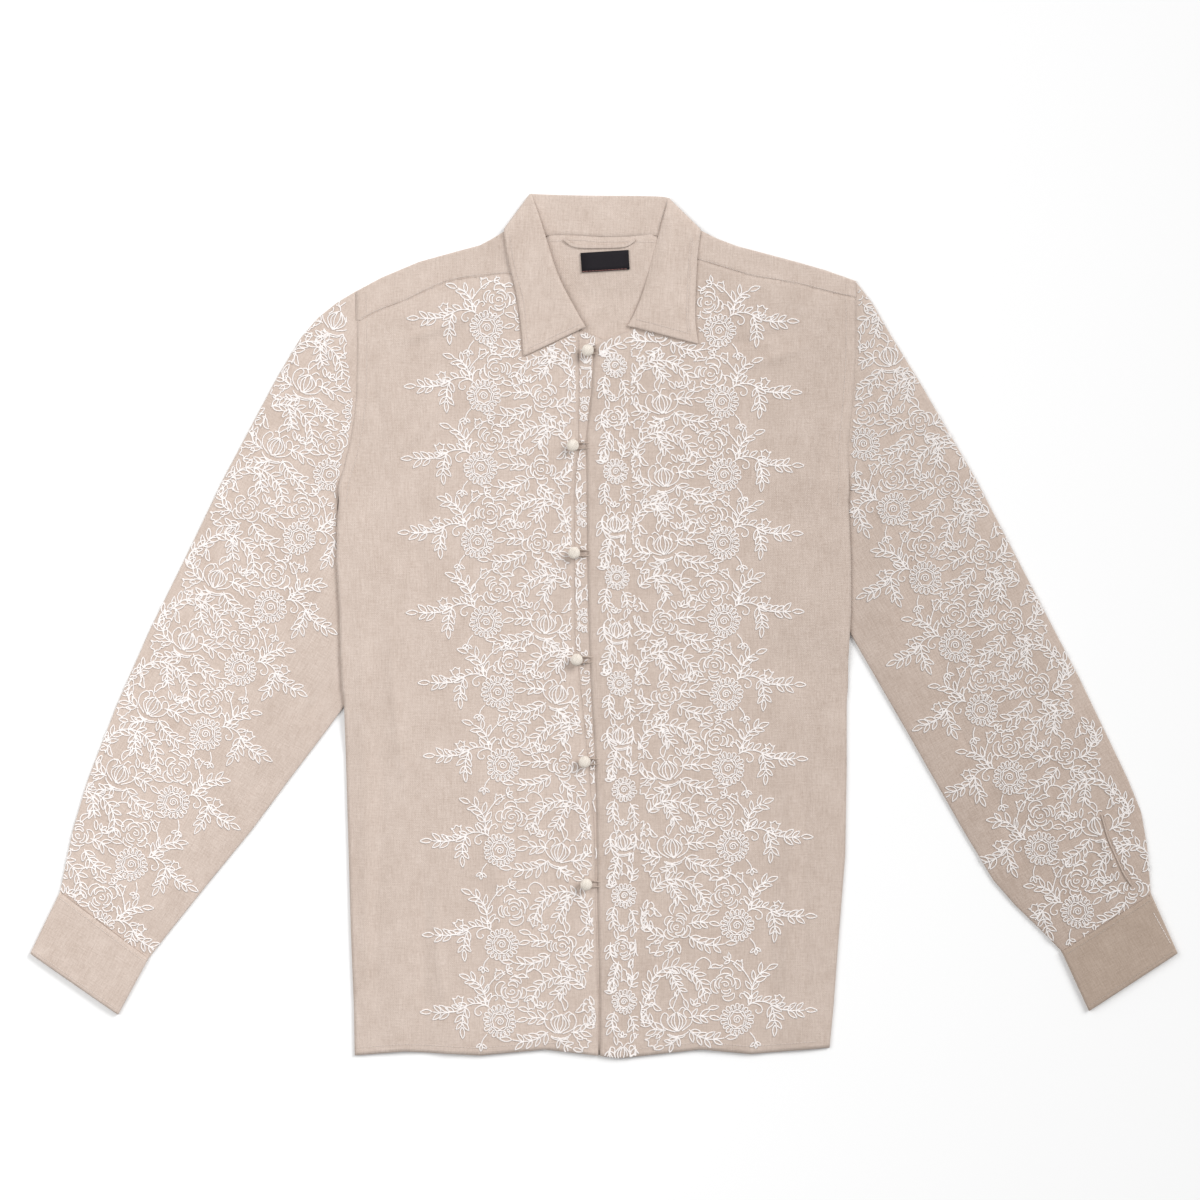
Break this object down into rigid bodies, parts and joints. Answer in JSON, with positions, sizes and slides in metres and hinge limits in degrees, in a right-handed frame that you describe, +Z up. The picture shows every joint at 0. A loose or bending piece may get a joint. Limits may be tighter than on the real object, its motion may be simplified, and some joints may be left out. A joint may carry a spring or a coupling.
{
  "type": "embroidered shirt",
  "caption": "Long-sleeved linen shirt with white floral embroidery, turned-down collar and a loop-and-button front, lying flat.",
  "frame": {"origin": "centre of the shirt's outline on the surface it lies on", "axes": "+X towards the wearer's left sleeve, +Y towards the collar, +Z up from the surface to the shirt's front"},
  "size_m": [1.0664, 0.8033, 0.0131],
  "materials": {
    "back_linen": "plain-weave linen with slubs, washed",
    "yoke_linen": "plain-weave linen with slubs, washed",
    "strip_linen": "plain-weave linen with slubs, washed",
    "front_right_linen": "plain-weave linen with slubs, washed",
    "front_left_linen": "plain-weave linen with slubs, washed",
    "sleeve_right_linen": "plain-weave linen with slubs, washed",
    "sleeve_left_linen": "plain-weave linen with slubs, washed",
    "cuff_right_linen": "plain-weave linen with slubs, washed",
    "cuff_left_linen": "plain-weave linen with slubs, washed",
    "collar_linen": "plain-weave linen with slubs, washed",
    "hanger_linen": "plain-weave linen with slubs, washed",
    "label_weave": "woven satin label, blank",
    "button_cloth": "cotton-linen cloth stretched over a round button",
    "loop_cord": "thin rolled cloth cord"
  },
  "bodies": {
    "root": {"back": "back_linen", "yoke": "yoke_linen", "button_strip": "strip_linen", "front_right": "front_right_linen", "front_left": "front_left_linen", "sleeve_right": "sleeve_right_linen", "sleeve_left": "sleeve_left_linen", "cuff_right": "cuff_right_linen", "cuff_left": "cuff_left_linen", "collar": "collar_linen", "hanger_loop": "hanger_linen", "neck_label": "label_weave", "button_1": "button_cloth", "button_2": "button_cloth", "button_3": "button_cloth", "button_4": "button_cloth", "button_5": "button_cloth", "button_6": "button_cloth", "button_loop_1": "loop_cord", "button_loop_2": "loop_cord", "button_loop_3": "loop_cord", "button_loop_4": "loop_cord", "button_loop_5": "loop_cord", "button_loop_6": "loop_cord"}
  },
  "joints": []
}
